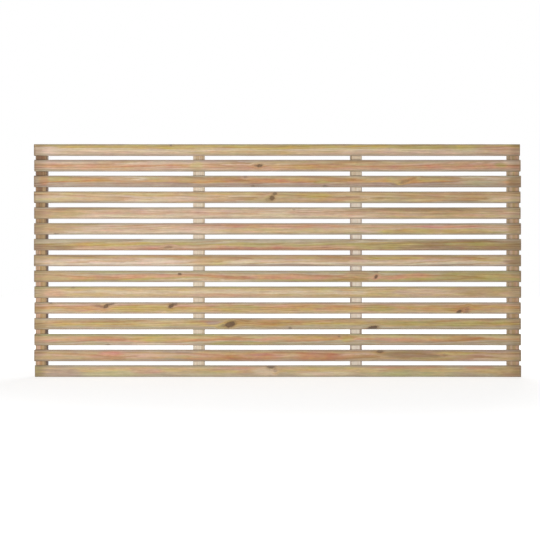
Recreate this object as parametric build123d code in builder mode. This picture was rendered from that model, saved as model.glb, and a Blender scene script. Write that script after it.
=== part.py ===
"""Slatted fence panel: planed horizontal slats, stapled from behind to upright battens.

The slats face -Y, the battens stand behind them, and the panel stands on Z = 0 with its middle at X = 0.
"""

import os

from build123d import *

# Slats: planed softwood strips laid flat, with a clear gap between them
PANEL_WIDTH = 1800.0
SLAT_COUNT = 15
SLAT_HEIGHT = 43.0
SLAT_THICKNESS = 16.0
SLAT_GAP = 15.5
SLAT_EDGE_RADIUS = 2.5

# Battens: uprights that carry the slats, the outer two set in a little from the slat ends
BATTEN_WIDTH = 42.0
BATTEN_THICKNESS = 34.0
BATTEN_EDGE_RADIUS = 2.5
BATTEN_END_INSET = 3.0
BATTEN_NAMES = ("left", "centre_left", "centre_right", "right")

# Staples: flat galvanised wire, one at each crossing, with the crown sunk below the batten's back
# and the points stopping short of the slat's face
STAPLE_CROWN_WIDTH = 12.0
STAPLE_WIRE_DEPTH = 1.4
STAPLE_WIRE_WIDTH = 1.6
STAPLE_POINT_LENGTH = 2.5
STAPLE_SINK = 0.4
STAPLE_POINT_COVER = 4.6
STAPLE_TURN = 45.0

# Places that follow from the sizes
PANEL_HEIGHT = SLAT_COUNT * SLAT_HEIGHT + (SLAT_COUNT - 1) * SLAT_GAP
PANEL_DEPTH = SLAT_THICKNESS + BATTEN_THICKNESS
FRONT_Y = -PANEL_DEPTH / 2
JOINT_Y = FRONT_Y + SLAT_THICKNESS
BACK_Y = PANEL_DEPTH / 2
STAPLE_LEG_LENGTH = PANEL_DEPTH - STAPLE_SINK - STAPLE_POINT_COVER
OUTER_BATTEN_X = PANEL_WIDTH / 2 - BATTEN_END_INSET - BATTEN_WIDTH / 2
BATTEN_STEP = 2 * OUTER_BATTEN_X / (len(BATTEN_NAMES) - 1)
BATTEN_X = [-OUTER_BATTEN_X + i * BATTEN_STEP for i in range(len(BATTEN_NAMES))]
SLAT_Z = [PANEL_HEIGHT - SLAT_HEIGHT / 2 - i * (SLAT_HEIGHT + SLAT_GAP) for i in range(SLAT_COUNT)]


def staple_plane(x, z):
    """Plane of the staple at one crossing: its X runs along the crown, its Y down the legs into the wood."""
    level = Plane(origin=(x, BACK_Y - STAPLE_SINK, z), x_dir=(1, 0, 0), z_dir=(0, 0, -1))
    return level.rotated((0, STAPLE_TURN, 0))


def staple_profile(room_over_crown):
    """Staple seen side on: the crown, and two legs cut to chisel points that lean apart."""
    half = STAPLE_CROWN_WIDTH / 2
    inner = half - STAPLE_WIRE_DEPTH
    shoulder = STAPLE_LEG_LENGTH - STAPLE_POINT_LENGTH
    with BuildSketch() as profile:
        with BuildLine():
            Polyline(
                (0, -room_over_crown),
                (half, -room_over_crown),
                (half, STAPLE_LEG_LENGTH),
                (inner, shoulder),
                (inner, STAPLE_WIRE_DEPTH),
                (0, STAPLE_WIRE_DEPTH),
            )
            mirror(about=Plane.YZ)
        make_face()
    return profile.sketch


def finish_piece(piece, name):
    """Names a finished piece and writes it to its own file."""
    piece.part.label = name
    export_step(piece.part, os.path.join("parts", f"{name}.step"))


os.makedirs("parts", exist_ok=True)
staple = staple_profile(room_over_crown=0)
staple_slot = staple_profile(room_over_crown=STAPLE_SINK)

# Slats, numbered from the top: a strip with its four long edges eased, and the holes that the staple points leave
for number, slat_z in enumerate(SLAT_Z, start=1):
    with BuildPart() as slat:
        with BuildSketch(Plane.YZ.offset(-PANEL_WIDTH / 2)):
            with Locations((FRONT_Y + SLAT_THICKNESS / 2, slat_z)):
                RectangleRounded(SLAT_THICKNESS, SLAT_HEIGHT, SLAT_EDGE_RADIUS)
        extrude(amount=PANEL_WIDTH)
        with BuildSketch(*[staple_plane(batten_x, slat_z) for batten_x in BATTEN_X]):
            add(staple_slot)
        extrude(amount=STAPLE_WIRE_WIDTH / 2, both=True, mode=Mode.SUBTRACT)
    finish_piece(slat, f"slat_{number:02d}")

# Battens, from left to right: full-height uprights with eased edges and a slot for every staple
for side, batten_x in zip(BATTEN_NAMES, BATTEN_X):
    crossings = [staple_plane(batten_x, slat_z) for slat_z in SLAT_Z]
    with BuildPart() as batten:
        with BuildSketch(Plane.XY):
            with Locations((batten_x, JOINT_Y + BATTEN_THICKNESS / 2)):
                RectangleRounded(BATTEN_WIDTH, BATTEN_THICKNESS, BATTEN_EDGE_RADIUS)
        extrude(amount=PANEL_HEIGHT)
        with BuildSketch(*crossings):
            add(staple_slot)
        extrude(amount=STAPLE_WIRE_WIDTH / 2, both=True, mode=Mode.SUBTRACT)
    finish_piece(batten, f"batten_{side}")

    # Its staples, one group: separate fixings that only the wood holds
    with BuildPart() as staples:
        with BuildSketch(*crossings):
            add(staple)
        extrude(amount=STAPLE_WIRE_WIDTH / 2, both=True)
    finish_piece(staples, f"staples_{side}")
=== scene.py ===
"""Looks of a slatted fence panel: treated pine slats on upright battens, in a white studio."""

from math import radians

import bmesh
import bpy
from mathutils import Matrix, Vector


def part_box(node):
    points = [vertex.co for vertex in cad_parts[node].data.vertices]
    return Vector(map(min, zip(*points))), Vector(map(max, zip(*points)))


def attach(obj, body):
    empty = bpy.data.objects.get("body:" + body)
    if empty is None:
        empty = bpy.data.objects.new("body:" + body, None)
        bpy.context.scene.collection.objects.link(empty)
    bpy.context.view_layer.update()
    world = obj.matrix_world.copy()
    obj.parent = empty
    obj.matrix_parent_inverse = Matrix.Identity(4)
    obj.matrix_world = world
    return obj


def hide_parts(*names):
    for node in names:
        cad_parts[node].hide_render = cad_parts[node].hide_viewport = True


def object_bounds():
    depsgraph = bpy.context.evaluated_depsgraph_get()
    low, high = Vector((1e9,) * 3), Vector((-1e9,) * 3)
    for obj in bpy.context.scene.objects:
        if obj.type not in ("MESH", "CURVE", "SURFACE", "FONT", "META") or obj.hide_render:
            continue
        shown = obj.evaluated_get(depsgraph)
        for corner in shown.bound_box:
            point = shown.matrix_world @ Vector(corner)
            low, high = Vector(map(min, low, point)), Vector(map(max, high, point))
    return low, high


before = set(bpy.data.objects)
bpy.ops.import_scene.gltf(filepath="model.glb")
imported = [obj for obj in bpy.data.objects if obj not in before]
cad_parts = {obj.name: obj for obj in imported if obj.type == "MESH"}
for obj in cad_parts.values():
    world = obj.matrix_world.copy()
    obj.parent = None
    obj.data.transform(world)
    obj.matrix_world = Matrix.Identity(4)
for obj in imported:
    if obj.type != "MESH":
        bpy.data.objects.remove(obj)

cad_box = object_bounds()

# Slats
# Fifteen strips of pressure-treated pine, planed on four sides, with rounded arrises and sawn ends. They are
# stapled to the battens from behind, so the faces show only grain, knots and a green-gold tint.

# Lengths in metres. Cuts and lines divide the bar, the rim is a share of a knot's half height, and only knots
# from a certain darkness on are sunk.
ARRIS_RADIUS = 0.0025
ARRIS_STEPS = 4
STATION_CUTS = 119
FACE_LINES = 5
KNOT_CUTS = 3
KNOT_SINK = 0.0006
KNOT_RIM = 0.4
KNOT_ROOM = 0.008
SUNK_FROM = 0.6
CROOK = 0.0012
CROOK_WAVE = 0.55
ARRIS_WEAR = 0.0006
ARRIS_WEAR_WAVE = 0.05
SMOOTH_ANGLE = radians(40)
MM = 0.001

# Tones of the wood: heartwood stays rose to rust, and sapwood takes the treatment and turns honey to moss
TONES = {
    "chalk": "F5EADB",
    "milk": "EEE0CB",
    "cream": "DCC8AA",
    "shell": "E2CBB6",
    "blush": "D6BA9F",
    "rose": "D0AC90",
    "coral": "D69C85",
    "salmon": "CE9F7B",
    "rust": "C08A67",
    "apricot": "CBA36E",
    "honey": "C8AE6E",
    "straw": "D0B687",
    "olive": "B9A76C",
    "moss": "ADA66F",
    "sage": "C4BB8E",
    "tan": "C1A378",
    "amber": "B9925C",
    "stone": "BEAE92",
    "mauve": "B59E8C",
    "bark": "A1845E",
    # peat and umber are painted shade, used only where the battens' sides and tops are shaded
    "peat": "846046",
    "umber": "5C4030",
}

# What the eye sees on each slat, from the top one down. Tones run from the upper edge to the lower one, and a
# trim is what the saw took off the left and the right end. A stretch is (tone, from, to, lower, upper), and a
# knot is (along, across, half length, half height, tilt, darkness). Lengths are in millimetres, places count
# from the slat's middle, and a tilt is in degrees.
BOARDS = [
    {
        "tones": "olive honey cream blush blush",
        "trim": (0.0, 4.0),
        "stretches": [("shell", -960, -800, -22, 14), ("straw", -340, 190, -20, 0),
                      ("olive", 380, 700, 4, 20), ("rose", 750, 900, -20, 16)],
        "knots": [(-393, 17, 4, 3, 0, 0.7)],
    },
    {
        "tones": "mauve blush salmon rose stone",
        "trim": (1.0, 1.6),
        "stretches": [("straw", -325, -275, -20, 20), ("blush", -500, -320, -24, -4),
                      ("tan", -130, 560, 4, 22), ("apricot", -20, 265, -12, 6),
                      ("salmon", 330, 840, -12, 6), ("olive", 796, 850, -8, 8)],
        "knots": [(-66, -1, 10, 5, 8, 0.85), (-78, 0, 9, 4, 0, 0.45)],
    },
    {
        "tones": "stone tan apricot mauve mauve",
        "trim": (0.0, 0.4),
        "stretches": [("mauve", -980, -870, -30, 30), ("rust", -882, -842, -16, 22),
                      ("olive", -850, -760, -4, 20), ("apricot", -780, -640, -8, 12),
                      ("cream", -640, -480, 0, 18), ("rust", -190, 60, -8, 8), ("olive", 130, 200, -12, 6),
                      ("stone", 640, 850, -20, 20), ("cream", 660, 840, 4, 20),
                      ("bark", 848, 900, -22, 16)],
        "knots": [(-90, -18, 7, 4, 0, 0.5), (176, -18, 8, 4, 0, 0.6), (-119, 17, 6, 4, 0, 0.4),
                  (466, -2, 22, 5, 18, 0.3), (494, 7, 18, 4, 22, 0.22)],
    },
    {
        "tones": "tan straw blush straw stone",
        "trim": (0.0, 2.0),
        "stretches": [("blush", -760, -90, -20, 0), ("tan", -120, 250, -20, 20), ("honey", 60, 220, -2, 18),
                      ("tan", 330, 900, -8, 20)],
        "knots": [(-20, -3, 9, 8, 40, 0.75), (-10, 13, 8, 5, 20, 0.7), (-34, -9, 10, 7, 0, 0.3)],
    },
    {
        "tones": "stone blush rose cream blush",
        "trim": (0.8, 1.6),
        "stretches": [("bark", -870, -560, 10, 22), ("tan", 300, 960, -2, 26), ("bark", 318, 700, 9, 24),
                      ("cream", -75, 45, -20, 14), ("tan", -980, -700, -24, 14),
                      ("straw", 330, 880, -20, -4)],
        "knots": [(61, 12, 5, 3, 0, 0.4)],
    },
    {
        "tones": "stone rose blush shell stone",
        "trim": (0.8, 0.4),
        "stretches": [("olive", -860, -660, 12, 22), ("blush", -800, -330, -18, 10),
                      ("straw", -260, 270, -18, 2), ("tan", -980, -750, -24, 24),
                      ("salmon", -260, 260, 2, 18), ("honey", 320, 840, -18, 2), ("coral", 490, 780, 6, 16),
                      ("tan", 848, 900, -20, 20)],
        "knots": [(-817, -20, 8, 3, 0, 0.7)],
    },
    {
        "tones": "stone stone olive rose rust",
        "trim": (0.0, 0.0),
        "stretches": [("bark", -960, -730, -26, 4), ("honey", -800, -440, -4, 10),
                      ("stone", -330, -150, -2, 20), ("rust", -260, 240, -22, -8),
                      ("honey", 310, 560, -2, 10), ("olive", 260, 560, -22, 4), ("bark", 430, 990, -26, 22),
                      ("olive", 600, 850, -6, 12)],
        "knots": [(-404, -9, 14, 5, 6, 0.4)],
    },
    {
        "tones": "tan tan blush cream mauve",
        "trim": (0.0, 0.2),
        "stretches": [("bark", -860, -600, 13, 22), ("shell", -800, -300, -22, 11),
                      ("straw", -320, -170, -20, 10), ("tan", -180, 300, 0, 20), ("honey", 320, 560, 4, 14),
                      ("honey", 710, 840, -6, 12), ("bark", 846, 960, -26, 26)],
        "knots": [],
    },
    {
        "tones": "moss stone salmon olive stone",
        "trim": (0.6, 0.0),
        "stretches": [("tan", -960, -720, -24, 24), ("salmon", -780, -380, -10, 6),
                      ("cream", -440, -80, -26, -8), ("salmon", -230, 250, -12, 4),
                      ("tan", 250, 345, -30, 30), ("salmon", 430, 580, -4, 12),
                      ("olive", 580, 900, -20, 20)],
        "knots": [(-360, 9, 6, 4, 0, 0.8), (364, -2, 5, 8, -35, 0.85), (366, 18, 9, 3, 0, 0.65)],
    },
    {
        "tones": "moss straw cream straw blush",
        "trim": (1.6, 0.0),
        "stretches": [("rose", -890, -780, -18, 14), ("rose", -390, -40, -20, -6),
                      ("straw", 320, 440, -18, 18), ("blush", 450, 640, -16, 14),
                      ("tan", 640, 900, -16, 20)],
        "knots": [(-756, 18, 6, 3, 0, 0.5)],
    },
    {
        "tones": "stone rose apricot straw blush",
        "trim": (1.8, 0.8),
        "stretches": [("salmon", -790, -660, -14, 4), ("honey", -640, -320, -12, 10),
                      ("olive", -240, -50, -12, 14), ("apricot", -40, 270, -12, 14),
                      ("olive", 310, 440, -12, 12), ("apricot", 450, 860, -8, 14),
                      ("amber", 610, 715, -18, 8)],
        "knots": [(-634, 6, 9, 6, 35, 0.85), (-617, 14, 14, 4, 10, 0.75), (-658, 7, 18, 4, -10, 0.35),
                  (-393, 8, 9, 7, 30, 0.9), (-380, 15, 10, 4, 10, 0.65), (-838, 19, 6, 3, 0, 0.9),
                  (671, -14, 10, 5, 30, 0.85), (700, -7, 6, 9, -30, 0.3)],
    },
    {
        "tones": "stone tan honey stone stone",
        "trim": (1.2, 0.6),
        "stretches": [("tan", -960, -845, -24, 24), ("mauve", -860, -660, -24, -10),
                      ("straw", -530, -320, -6, 14), ("mauve", -268, -200, -4, 18),
                      ("amber", -150, 95, -14, 20), ("olive", 330, 860, -11, 9)],
        "knots": [(-174, -2, 19, 10, 18, 0.9), (-204, -8, 16, 5, 12, 0.4), (46, -17, 6, 4, 0, 0.6),
                  (351, -15, 19, 7, 10, 0.95)],
    },
    {
        "tones": "moss straw salmon stone stone",
        "trim": (1.4, 0.2),
        "stretches": [("salmon", -830, -550, -4, 12), ("honey", -550, -350, -4, 16),
                      ("shell", -620, -300, -24, -9), ("olive", -270, -20, -22, -8),
                      ("apricot", -20, 230, -6, 14), ("honey", 235, 285, -14, 14),
                      ("apricot", 560, 850, -4, 8)],
        "knots": [(227, 12, 5, 3, 0, 0.4), (-626, -19, 6, 3, 0, 0.6)],
    },
    {
        "tones": "mauve tan rose tan mauve",
        "trim": (1.0, 0.0),
        "stretches": [("coral", -670, -550, -2, 18), ("mauve", -430, -300, 4, 20),
                      ("rust", -240, 30, -18, 12), ("rust", 60, 250, -22, 14), ("bark", 390, 600, -12, 18),
                      ("honey", 580, 720, 2, 16), ("blush", 640, 850, -24, -8)],
        "knots": [(379, 15, 12, 5, 0, 0.7), (619, 2, 8, 4, 0, 0.3)],
    },
    {
        "tones": "stone straw straw stone stone",
        "trim": (3.6, 0.0),
        "stretches": [("moss", -980, -850, -30, 30), ("mauve", -870, -710, -26, 16),
                      ("sage", -720, -480, -22, 0), ("rose", -560, -420, -10, 14),
                      ("cream", -90, 0, -16, 14), ("rose", -250, -75, 4, 20), ("cream", 60, 290, -20, -2),
                      ("sage", 320, 660, -24, -2), ("salmon", 330, 620, 10, 22),
                      ("salmon", 690, 800, 8, 20), ("tan", 800, 960, -30, 30)],
        "knots": [(-24, 17, 14, 6, 0, 0.85), (-8, 2, 6, 9, 0, 0.2)],
    },
]


def linear(hex_text, alpha=1.0):
    """Turns an sRGB hex colour to linear light."""
    shares = [int(hex_text[i:i + 2], 16) / 255 for i in (0, 2, 4)]
    return [s / 12.92 if s <= 0.04045 else ((s + 0.055) / 1.055) ** 2.4 for s in shares] + [alpha]


def add_node(tree, kind, inputs=None, stops=None, **settings):
    """Adds a node with its settings. An input takes a value, a socket, or a node for its first output."""
    node = tree.nodes.new(kind)
    for setting, value in settings.items():
        setattr(node, setting, value)
    for key, value in (inputs or {}).items():
        open_inputs = [socket for socket in node.inputs if socket.enabled]
        target = open_inputs[key] if isinstance(key, int) else next(s for s in open_inputs if s.name == key)
        if isinstance(value, bpy.types.Node):
            value = next(socket for socket in value.outputs if socket.enabled)
        if isinstance(value, bpy.types.NodeSocket):
            tree.links.new(value, target)
        else:
            target.default_value = value
    for i, (position, colour) in enumerate(stops or []):
        elements = node.color_ramp.elements
        element = elements[i] if i < 2 else elements.new(position)
        element.position = position
        element.color = colour
    return node


# Sizes of the wood's pattern, in millimetres. The trunk's taper is a share of its length, and a stretch's
# fingers and a knot's rings are counted in its own half size.
GRAIN_WANDER = 20.0
STREAK_SHIFT = 22.0
STRETCH_FINGERS = 1.6
RING_SPACING = 3.5
TRUNK_TAPER = 0.008
KNOT_LUMP = 7.0
KNOT_RAGGED = 8.0
KNOT_RINGS = 4.0
# The next two set the ragged edge and the reach of the painted shade along the arrises
ARRIS_RAGGED = 8.0
ARRIS_REACH = 10.0
SOAK_FINGERS = 24.0


def treated_pine(name, board, low, high, seed, upright=False):
    """Pressure-treated pine, planed: long streaks of salmon heartwood and olive sapwood that follow the
    grain, brown knots that the grain bends round, arrises greyed with painted shade, and sawn ends with more
    treatment."""
    material = bpy.data.materials.new(name)
    material.use_nodes = True
    tree = material.node_tree
    tree.nodes.clear()

    # Millimetres along the board, through it from its front face, and across it, from its middle
    middle = (low + high) / 2 / MM
    size = (high - low) / MM
    length, width = (size.z, size.x) if upright else (size.x, size.z)
    figure = board.get("figure", 1.0)
    place = add_node(tree, "ShaderNodeTexCoord").outputs["Object"]
    wood = add_node(tree, "ShaderNodeMapping", {
        "Vector": place, "Scale": (1 / MM, 1 / MM, 1 / MM), "Rotation": (0, radians(90 if upright else 0), 0),
        "Location": (-middle.z, -low.y / MM, middle.x) if upright else (-middle.x, -low.y / MM, -middle.z),
    })
    along, depth, across = add_node(tree, "ShaderNodeSeparateXYZ", {0: wood}).outputs

    # The grain runs along the board and wanders slowly across it
    wander_place = add_node(tree, "ShaderNodeMapping", {
        "Vector": wood, "Location": (seed * 7.3, seed * 3.1, seed * 5.7), "Scale": (1 / 400, 1 / 90, 1 / 70),
    })
    wander = add_node(tree, "ShaderNodeTexNoise", {"Vector": wander_place, "Scale": 1.0, "Detail": 2.0})
    drift = add_node(tree, "ShaderNodeMath", {
        0: wander, 1: GRAIN_WANDER, 2: -GRAIN_WANDER / 2,
    }, operation="MULTIPLY_ADD")
    grain = add_node(tree, "ShaderNodeMath", {0: across, 1: drift}, operation="ADD")

    # Knots: branches cut through, so the grain swells round each one
    ragged_noise = add_node(tree, "ShaderNodeTexNoise", {
        "Vector": wood, "Scale": 1 / KNOT_LUMP, "Detail": 2.0,
    })
    ragged = add_node(tree, "ShaderNodeVectorMath", {
        0: ragged_noise.outputs["Color"], 1: (KNOT_RAGGED, KNOT_RAGGED, KNOT_RAGGED), 2: wood,
    }, operation="MULTIPLY_ADD")
    knot_distances = []
    for knot_along, knot_across, half_length, half_height, tilt, darkness in board["knots"]:
        local = add_node(tree, "ShaderNodeMapping", {
            "Vector": ragged, "Location": (knot_along + KNOT_RAGGED / 2, 0, knot_across + KNOT_RAGGED / 2),
            "Rotation": (0, radians(-tilt), 0), "Scale": (half_length, 1e6, half_height),
        }, vector_type="TEXTURE")
        distance = add_node(tree, "ShaderNodeVectorMath", {0: local}, operation="LENGTH")
        knot_distances.append((distance, darkness))
        swell = add_node(tree, "ShaderNodeMapRange", {
            "Value": distance, "From Min": 0.4, "From Max": 3.6, "To Min": 0.7, "To Max": 0.0,
        }, interpolation_type="SMOOTHSTEP")
        offset = add_node(tree, "ShaderNodeMath", {0: across, 1: knot_across}, operation="SUBTRACT")
        push = add_node(tree, "ShaderNodeMath", {0: swell, 1: offset}, operation="MULTIPLY")
        grain = add_node(tree, "ShaderNodeMath", {0: grain, 1: push}, operation="SUBTRACT")

    # Bundles of fibre about 6 mm thick, blotches of treatment, fibres and flecks of resin. The last two are
    # finer on real wood, and are drawn 1.5 and 4 mm thick here to show.
    bundle = add_node(tree, "ShaderNodeCombineXYZ", {0: along, 1: depth, 2: grain})
    noises = []
    for thickness, run, detail in ((6.0, 130.0, 4.0), (13.0, 70.0, 3.0), (1.5, 60.0, 4.0), (4.0, 16.0, 2.0)):
        stretched = add_node(tree, "ShaderNodeMapping", {
            "Vector": bundle, "Location": (seed * 1.7, seed * 9.1, thickness),
            "Scale": (1 / run, 1 / thickness, 1 / thickness),
        })
        noises.append(add_node(tree, "ShaderNodeTexNoise", {
            "Vector": stretched, "Scale": 1.0, "Detail": detail, "Roughness": 0.6,
        }))
    streak, blotch, fibre, fleck = noises

    # Bands of tone across the board that run into each other in streaks, and stretches where the tone changes
    tones = [linear(TONES[tone]) for tone in reversed(board["tones"].split())]
    streaky = add_node(tree, "ShaderNodeMath", {
        0: streak, 1: STREAK_SHIFT, 2: grain,
    }, operation="MULTIPLY_ADD")
    height = add_node(tree, "ShaderNodeMapRange", {
        "Value": streaky, "From Min": (STREAK_SHIFT - width) / 2, "From Max": (STREAK_SHIFT + width) / 2,
        "To Min": 0.0, "To Max": 1.0,
    })
    step = 1 / (len(tones) - 1)
    order = [0, len(tones) - 1, *range(1, len(tones) - 1)]
    colour = add_node(tree, "ShaderNodeValToRGB", {0: height}, stops=[(i * step, tones[i]) for i in order])
    colour.color_ramp.interpolation = "EASE"
    spread = add_node(tree, "ShaderNodeCombineXYZ", {0: along, 2: grain})
    for tone, start, end, lower, upper in board["stretches"]:
        local = add_node(tree, "ShaderNodeMapping", {
            "Vector": spread, "Location": ((start + end) / 2, 0, (lower + upper) / 2),
            "Scale": ((end - start) / 2, 1.0, (upper - lower) / 2),
        }, vector_type="TEXTURE")
        distance = add_node(tree, "ShaderNodeVectorMath", {0: local}, operation="LENGTH")
        fingers = add_node(tree, "ShaderNodeMath", {
            0: streak, 1: STRETCH_FINGERS, 2: distance,
        }, operation="MULTIPLY_ADD")
        share = add_node(tree, "ShaderNodeMapRange", {
            "Value": fingers, "From Min": 1.4, "From Max": 2.1, "To Min": 0.85, "To Max": 0.0,
        }, interpolation_type="SMOOTHSTEP")
        colour = add_node(tree, "ShaderNodeMix", {
            "Factor": share, "A": colour, "B": linear(TONES[tone]),
        }, data_type="RGBA")

    # The treatment takes unevenly: the hue shifts between pink and green, and streaks are light and dark
    uneven = add_node(tree, "ShaderNodeSeparateColor", {0: blotch.outputs["Color"]})
    shifts = []
    for cause, centre, most in (
        (uneven.outputs["Red"], 0.5, 0.028), (uneven.outputs["Green"], 1.0, 0.14),
        (uneven.outputs["Blue"], 1.0, 0.1), (streak, 1.0, 0.15), (fibre, 1.0, 0.12), (fleck, 1.0, 0.09),
    ):
        shifts.append(add_node(tree, "ShaderNodeMapRange", {
            "Value": cause, "From Min": 0.25, "From Max": 0.75,
            "To Min": centre - most * figure, "To Max": centre + most * figure,
        }))
    hue, strength, light, *more_light = shifts
    for part in more_light:
        light = add_node(tree, "ShaderNodeMath", {0: light, 1: part}, operation="MULTIPLY")
    colour = add_node(tree, "ShaderNodeHueSaturation", {
        "Hue": hue, "Saturation": strength, "Value": light, "Color": colour,
    })

    # Growth rings about the pith, which lies in another place for each board: a ring darkens slowly to
    # latewood and ends sharply. The trunk tapers, so the rings run out along the face in long arches.
    pith_across = 38.0 - 11.0 * (seed % 5)
    pith_depth = 34.0 + 7.0 * (seed % 3)
    section = add_node(tree, "ShaderNodeCombineXYZ", {0: grain, 1: depth})
    radius = add_node(tree, "ShaderNodeVectorMath", {
        0: section, 1: (pith_across, pith_depth, 0),
    }, operation="DISTANCE")
    tapered = add_node(tree, "ShaderNodeMath", {
        0: along, 1: TRUNK_TAPER, 2: radius,
    }, operation="MULTIPLY_ADD")
    count = add_node(tree, "ShaderNodeMath", {
        0: tapered, 1: 1 / RING_SPACING, 2: streak,
    }, operation="MULTIPLY_ADD")
    ring = add_node(tree, "ShaderNodeMath", {0: count}, operation="FRACT")
    latewood = add_node(tree, "ShaderNodeMapRange", {
        "Value": ring, "From Min": 0.5, "From Max": 0.92, "To Min": 0.0, "To Max": 0.58 * figure,
    }, interpolation_type="SMOOTHSTEP")
    colour = add_node(tree, "ShaderNodeMix", {
        "Factor": latewood, "A": colour, "B": linear("DDC09A"),
    }, data_type="RGBA", blend_type="MULTIPLY")

    # Knots: brown heart with the branch's own rings, dark bark ring, resin halo
    for distance, darkness in knot_distances:
        half = add_node(tree, "ShaderNodeMath", {0: distance, 1: 0.5}, operation="MULTIPLY")
        knot = add_node(tree, "ShaderNodeValToRGB", {0: half}, stops=[
            (0.0, linear("614936")), (1.0, linear("B98550", 0.0)), (0.25, linear("6A503C")),
            (0.42, linear("5A4432")), (0.56, linear("8A6545", 0.6)), (0.74, linear("B08552", 0.25)),
        ])
        turns = add_node(tree, "ShaderNodeMath", {0: distance, 1: KNOT_RINGS}, operation="MULTIPLY")
        branch_ring = add_node(tree, "ShaderNodeMath", {0: turns}, operation="FRACT")
        ringed = add_node(tree, "ShaderNodeMix", {
            "Factor": branch_ring, "A": knot.outputs["Color"], "B": linear("C4B4A4"),
        }, data_type="RGBA", blend_type="MULTIPLY")
        share = add_node(tree, "ShaderNodeMath", {
            0: knot.outputs["Alpha"], 1: darkness,
        }, operation="MULTIPLY")
        colour = add_node(tree, "ShaderNodeMix", {
            "Factor": share, "A": colour, "B": ringed,
        }, data_type="RGBA")

    # Painted shade: the arrises, those at the ends too, are greyed and darkened to stand in for the shade on
    # rounded edges that turn from the light. An arris lies at no distance from two of the three pairs of
    # faces, so the middle one of the three distances says how far away it is.
    from_middle = add_node(tree, "ShaderNodeMath", {0: depth, 1: size.y / 2}, operation="SUBTRACT")
    insets = []
    for place_on_face, half in ((across, width / 2), (from_middle, size.y / 2), (along, length / 2)):
        span = add_node(tree, "ShaderNodeMath", {0: place_on_face}, operation="ABSOLUTE")
        insets.append(add_node(tree, "ShaderNodeMath", {0: half, 1: span}, operation="SUBTRACT"))
    nearer = add_node(tree, "ShaderNodeMath", {0: insets[0], 1: insets[1]}, operation="MINIMUM")
    farther = add_node(tree, "ShaderNodeMath", {0: insets[0], 1: insets[1]}, operation="MAXIMUM")
    nearest_end = add_node(tree, "ShaderNodeMath", {0: farther, 1: insets[2]}, operation="MINIMUM")
    from_arris = add_node(tree, "ShaderNodeMath", {0: nearer, 1: nearest_end}, operation="MAXIMUM")
    arris_shade_reach = add_node(tree, "ShaderNodeMath", {
        0: streak, 1: ARRIS_RAGGED, 2: from_arris,
    }, operation="MULTIPLY_ADD")
    # A board's arris value, 0.6 unless given, sets how strongly this painted shade greys the arrises
    arris_shade_share = add_node(tree, "ShaderNodeMapRange", {
        "Value": arris_shade_reach, "From Min": ARRIS_RAGGED / 2, "From Max": ARRIS_RAGGED / 2 + ARRIS_REACH,
        "To Min": board.get("wear", 0.6), "To Max": 0.0,
    }, interpolation_type="SMOOTHSTEP")
    colour = add_node(tree, "ShaderNodeMix", {
        "Factor": arris_shade_share, "A": colour, "B": linear("9A8E7C"),
    }, data_type="RGBA")

    # Ends: end grain drinks the treatment, and fingers of brown run up to 60 mm back along the fibres
    soaked = add_node(tree, "ShaderNodeMath", {
        0: fibre, 1: SOAK_FINGERS, 2: insets[2],
    }, operation="MULTIPLY_ADD")
    end_share = add_node(tree, "ShaderNodeMapRange", {
        "Value": soaked, "From Min": 10.0, "From Max": 20.0, "To Min": 0.8, "To Max": 0.36,
    }, interpolation_type="SMOOTHSTEP")
    fade = add_node(tree, "ShaderNodeMapRange", {
        "Value": soaked, "From Min": 26.0, "From Max": 68.0, "To Min": 1.0, "To Max": 0.0,
    }, interpolation_type="SMOOTHSTEP")
    end_share = add_node(tree, "ShaderNodeMath", {0: end_share, 1: fade}, operation="MULTIPLY")
    colour = add_node(tree, "ShaderNodeMix", {
        "Factor": end_share, "A": colour, "B": linear("8A7150"),
    }, data_type="RGBA")

    # The saw cuts the growth rings across at the ends, where the latewood shows as dark arcs
    end_rings = add_node(tree, "ShaderNodeMapRange", {
        "Value": ring, "From Min": 0.4, "From Max": 0.9, "To Min": 0.0, "To Max": end_share,
    }, interpolation_type="SMOOTHSTEP")
    colour = add_node(tree, "ShaderNodeMix", {
        "Factor": end_rings, "A": colour, "B": linear("A88E70"),
    }, data_type="RGBA", blend_type="MULTIPLY")

    # Fibres and hard latewood stand a little proud of the planed face, which is matt to satin
    relief = add_node(tree, "ShaderNodeMath", {0: latewood, 1: 1.2, 2: fibre}, operation="MULTIPLY_ADD")
    bump = add_node(tree, "ShaderNodeBump", {"Strength": 0.35, "Distance": 0.0003, "Height": relief})
    roughness = add_node(tree, "ShaderNodeMapRange", {
        "Value": fibre, "From Min": 0.3, "From Max": 0.7, "To Min": 0.55, "To Max": 0.72,
    })
    surface = add_node(tree, "ShaderNodeBsdfPrincipled", {
        "Base Color": colour, "Roughness": roughness, "Normal": bump, "IOR": 1.45,
    })
    add_node(tree, "ShaderNodeOutputMaterial", {"Surface": surface})
    return material


def select_where(kind, test):
    """Selects, in edit mode, the vertices, edges or faces that pass a test."""
    mesh = bpy.context.object.data
    bpy.ops.mesh.select_mode(type={"verts": "VERT", "edges": "EDGE", "faces": "FACE"}[kind])
    bpy.ops.mesh.select_all(action="DESELECT")
    shape = bmesh.from_edit_mesh(mesh)
    for item in getattr(shape, kind):
        item.select_set(test(item))
    shape.select_flush_mode()
    bmesh.update_edit_mesh(mesh)


def runs_along(edge):
    """True for an edge that runs the length of the slat."""
    start, end = (vertex.co for vertex in edge.verts)
    return abs(start.x - end.x) > 0.9 * (start - end).length


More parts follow.
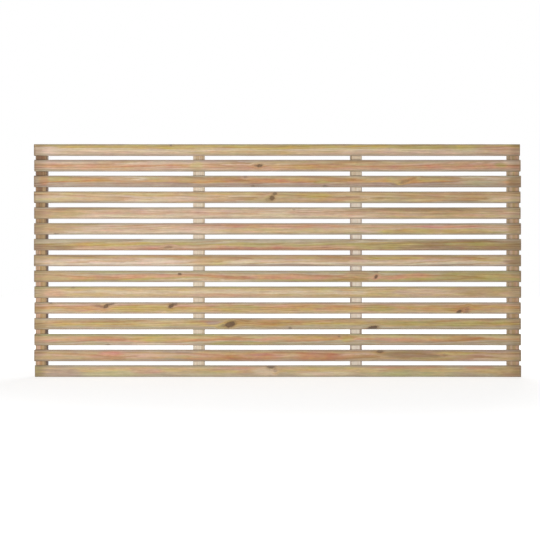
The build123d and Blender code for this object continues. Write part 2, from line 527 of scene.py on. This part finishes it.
def sink_knots(knots, front, middle):
    """Dishes the front face at the dark knots, which have dried and shrunk back from the planed surface."""
    places = []
    for along, across, half_length, half_height, _tilt, darkness in knots:
        if darkness >= SUNK_FROM:
            places.append((along * MM, middle + across * MM, half_length * MM, half_height * MM))

    def near(point, place, room):
        x, z, half_length, half_height = place
        return (abs(point.x - x) < half_length + room and abs(point.z - z) < half_height + room
                and abs(point.y - front) < KNOT_SINK)

    if places:
        select_where("faces", lambda face: face.normal.y < -0.9 and any(
            near(face.calc_center_median(), place, KNOT_ROOM) for place in places))
        bpy.ops.mesh.subdivide(number_cuts=KNOT_CUTS, ngon=False)
    for place in places:
        half_height = place[3]
        select_where("verts", lambda vertex: near(vertex.co, place, -KNOT_RIM * half_height))
        bpy.ops.transform.translate(
            value=(0, KNOT_SINK, 0), use_proportional_edit=True, proportional_edit_falloff="SMOOTH",
            use_proportional_connected=True, proportional_size=half_height,
        )


def model_slat(name, low, high, board, crook_level):
    """A bar with its four arrises rounded over, cut into stations, its knots dished and its arrises worn."""
    middle = (low + high) / 2
    bpy.ops.object.select_all(action="DESELECT")
    bpy.ops.mesh.primitive_cube_add(size=1, location=middle, scale=high - low)
    slat = bpy.context.object
    slat.name = name + "_planed"
    bpy.ops.object.transform_apply(location=True, rotation=True, scale=True)
    bpy.ops.object.mode_set(mode="EDIT")
    select_where("edges", runs_along)
    bpy.ops.mesh.bevel(offset=ARRIS_RADIUS, segments=ARRIS_STEPS, affect="EDGES")
    select_where("edges", runs_along)
    bpy.ops.mesh.subdivide(number_cuts=STATION_CUTS)
    for line in range(1, FACE_LINES + 1):
        bpy.ops.mesh.select_all(action="SELECT")
        level = low.z + ARRIS_RADIUS + (high.z - low.z - 2 * ARRIS_RADIUS) * line / (FACE_LINES + 1)
        bpy.ops.mesh.bisect(plane_co=(0, 0, level), plane_no=(0, 0, 1))
    sink_knots(board["knots"], low.y, middle.z)
    bpy.ops.object.mode_set(mode="OBJECT")

    arris = slat.vertex_groups.new(name="arris")
    limit = (high.z - low.z) / 2 - ARRIS_RADIUS - 0.01 * MM
    arris.add([v.index for v in slat.data.vertices if abs(v.co.z - middle.z) > limit], 1.0, "REPLACE")
    for label, wave, strength, direction, group, mid_level in (
        ("arris_wear", ARRIS_WEAR_WAVE, ARRIS_WEAR, "NORMAL", "arris", 1.0),
        ("crook", CROOK_WAVE, CROOK, "Z", "", crook_level),
    ):
        texture = bpy.data.textures.new(f"{name}_{label}", type="CLOUDS")
        texture.noise_scale = wave
        displace = slat.modifiers.new(label, "DISPLACE")
        displace.texture = texture
        displace.texture_coords = "LOCAL"
        displace.direction = direction
        displace.strength = strength
        displace.mid_level = mid_level
        displace.vertex_group = group
        bpy.ops.object.modifier_apply(modifier=label)
    bpy.ops.object.shade_smooth_by_angle(angle=SMOOTH_ANGLE)
    return slat


# The top slat bows only down and the bottom one only up, so that the panel keeps its height
crook_levels = [1.0] + [0.5] * (len(BOARDS) - 2) + [0.0]
for number, (board, crook_level) in enumerate(zip(BOARDS, crook_levels), start=1):
    node = f"slat_{number:02d}"
    low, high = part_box(node)
    left_trim, right_trim = board["trim"]
    sawn_low, sawn_high = low + Vector((left_trim * MM, 0, 0)), high - Vector((right_trim * MM, 0, 0))
    slat = model_slat(node, sawn_low, sawn_high, board, crook_level)
    slat.data.materials.append(treated_pine(f"treated pine, planed, slat {number}", board, low, high, number))
    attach(slat, "root")
    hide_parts(node)

# Battens
# Four uprights of planed pine that carry the slats, with staples driven through them from behind. The two at
# the ends are brown like the slats, and the two between are paler, fresh wood.

# Tones run from the left edge to the right one, and a stretch counts upwards and to the left from the middle.
# Figure says how strongly the grain shows, and the arris number how much painted shade greys the arrises.
# Painted shade: the left batten's right side, the centre left one's right edge and the centre right one's
# edges are darker where their sides turn from the light, and every stretch is painted shade that darkens a
# batten towards its top.
BATTENS = {
    "batten_left": {
        "tones": "tan rose rose amber tan tan umber", "figure": 0.5, "wear": 0.15, "knots": [],
        "stretches": [("bark", 0, 800, -18, 34), ("peat", 220, 800, -22, 36)],
    },
    "batten_centre_left": {
        "tones": "milk milk milk milk cream", "figure": 0.35, "wear": 0.15, "knots": [],
        "stretches": [("tan", 340, 600, -40, 40)],
    },
    "batten_centre_right": {
        "tones": "mauve chalk chalk chalk chalk chalk chalk mauve", "figure": 0.3, "wear": 0.1, "knots": [],
        "stretches": [("cream", 250, 600, -30, 30), ("bark", 250, 700, 16, 40)],
    },
    "batten_right": {
        "tones": "tan blush tan rose tan", "figure": 0.5, "knots": [],
        "stretches": [("bark", 360, 600, -30, 30)],
    },
}
FIRST_BATTEN_SEED = 21
for seed, (node, board) in enumerate(BATTENS.items(), start=FIRST_BATTEN_SEED):
    low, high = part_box(node)
    material = treated_pine(f"treated pine, planed, {node}", board, low, high, seed, upright=True)
    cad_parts[node].material_slots[0].material = material

# Staples
# Flat wire, drawn from steel and galvanised, one driven at each crossing until its crown lies just under the
# batten's back. The zinc is dull grey with a faint spangle and a little white bloom.
SPANGLE_SIZE = 0.0015
BLOOM_SIZE = 0.006
zinc = bpy.data.materials.new("galvanised steel wire")
zinc.use_nodes = True
tree = zinc.node_tree
tree.nodes.clear()
place = add_node(tree, "ShaderNodeTexCoord").outputs["Object"]
spangle = add_node(tree, "ShaderNodeTexVoronoi", {"Vector": place, "Scale": 1 / SPANGLE_SIZE})
bloom = add_node(tree, "ShaderNodeTexNoise", {"Vector": place, "Scale": 1 / BLOOM_SIZE, "Detail": 4.0})
colour = add_node(tree, "ShaderNodeMix", {
    "Factor": bloom, "A": linear("A3A7AA"), "B": linear("C4C6C6"),
}, data_type="RGBA")
roughness = add_node(tree, "ShaderNodeMapRange", {
    "Value": spangle.outputs["Distance"], "From Min": 0.0, "From Max": 0.8, "To Min": 0.35, "To Max": 0.55,
})
surface = add_node(tree, "ShaderNodeBsdfPrincipled", {
    "Base Color": colour, "Roughness": roughness, "Metallic": 1.0,
})
add_node(tree, "ShaderNodeOutputMaterial", {"Surface": surface})
for node in BATTENS:
    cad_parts[node.replace("batten", "staples")].material_slots[0].material = zinc

# Studio
# A white floor and a white surround. To the eye both are plain white, and the floor still takes the panel's
# shadow: near the panel it glows less, so that the shadow shows, and further out it is white.
FLOOR_SIZE = 24
SHADOW_ROOM = 0.9
WHITE_FROM = 2.4
GLOW_AT_PANEL = 0.7
SURROUND_LIGHT = 0.35


def seen_directly(tree):
    """Socket that is 1 for what the eye sees, also in metal and through glass, and 0 for light on its way."""
    path = add_node(tree, "ShaderNodeLightPath").outputs
    seen = path["Is Camera Ray"]
    for ray in ("Is Glossy Ray", "Is Transmission Ray"):
        seen = add_node(tree, "ShaderNodeMath", {0: seen, 1: path[ray]}, operation="MAXIMUM").outputs[0]
    return seen


bpy.ops.object.select_all(action="DESELECT")
bpy.ops.mesh.primitive_plane_add(size=FLOOR_SIZE, location=(0, 0, 0))
floor = bpy.context.object
floor.name = "floor"
paper = bpy.data.materials.new("matt white floor")
paper.use_nodes = True
tree = paper.node_tree
tree.nodes.clear()
place = add_node(tree, "ShaderNodeTexCoord").outputs["Object"]
from_panel = add_node(tree, "ShaderNodeVectorMath", {0: place}, operation="LENGTH").outputs["Value"]
glow_strength = add_node(tree, "ShaderNodeMapRange", {
    "Value": from_panel, "From Min": SHADOW_ROOM, "From Max": WHITE_FROM,
    "To Min": GLOW_AT_PANEL, "To Max": 1.0,
}, interpolation_type="SMOOTHSTEP")
glow = add_node(tree, "ShaderNodeEmission", {"Color": (1, 1, 1, 1), "Strength": glow_strength})
dull = add_node(tree, "ShaderNodeBsdfDiffuse", {"Color": linear("E6E6E4")})
shaded = add_node(tree, "ShaderNodeBsdfDiffuse", {"Color": linear("C8C8C8")})
bright = add_node(tree, "ShaderNodeAddShader", {0: shaded, 1: glow})
mixed = add_node(tree, "ShaderNodeMixShader", {0: seen_directly(tree), 1: dull, 2: bright})
add_node(tree, "ShaderNodeOutputMaterial", {"Surface": mixed})
floor.data.materials.append(paper)

world = bpy.data.worlds.new("white surround")
bpy.context.scene.world = world
world.use_nodes = True
tree = world.node_tree
tree.nodes.clear()
strength = add_node(tree, "ShaderNodeMapRange", {
    "Value": seen_directly(tree), "To Min": SURROUND_LIGHT, "To Max": 1.0,
})
surround = add_node(tree, "ShaderNodeBackground", {"Color": (1, 1, 1, 1), "Strength": strength})
add_node(tree, "ShaderNodeOutputWorld", {"Surface": surround})

# Soft boxes: the main one low on the left, a weaker one on the right and one behind
panel_middle = (cad_box[0] + cad_box[1]) / 2
for label, place, width, height, power in (
    ("main_soft_box", (-1.2, -2.7, 0.25), 1.6, 0.5, 41),
    ("right_soft_box", (1.9, -2.9, 0.3), 1.4, 0.6, 12.5),
    ("rear_soft_box", (0.8, 3.2, 2.3), 2.2, 1.6, 50),
):
    bpy.ops.object.light_add(type="AREA", location=place)
    lamp = bpy.context.object
    lamp.name = label
    lamp.data.shape = "RECTANGLE"
    lamp.data.size = width
    lamp.data.size_y = height
    lamp.data.energy = power
    lamp.rotation_euler = (panel_middle - lamp.location).to_track_quat("-Z", "Y").to_euler()
    lamp.visible_camera = False

# Camera: straight in front, a little left of and below the panel's middle
CAMERA_DISTANCE = 4.3
CAMERA_LEFT = 0.0277
CAMERA_BELOW = 0.035
LENS = 77.6
SENSOR_WIDTH = 36
bpy.ops.object.camera_add(
    location=(-CAMERA_LEFT, cad_box[0].y - CAMERA_DISTANCE, panel_middle.z - CAMERA_BELOW),
    rotation=(radians(90), 0, 0),
)
camera = bpy.context.object
camera.data.lens = LENS
camera.data.sensor_width = SENSOR_WIDTH
bpy.context.scene.camera = camera
bpy.context.scene.view_settings.view_transform = "Standard"
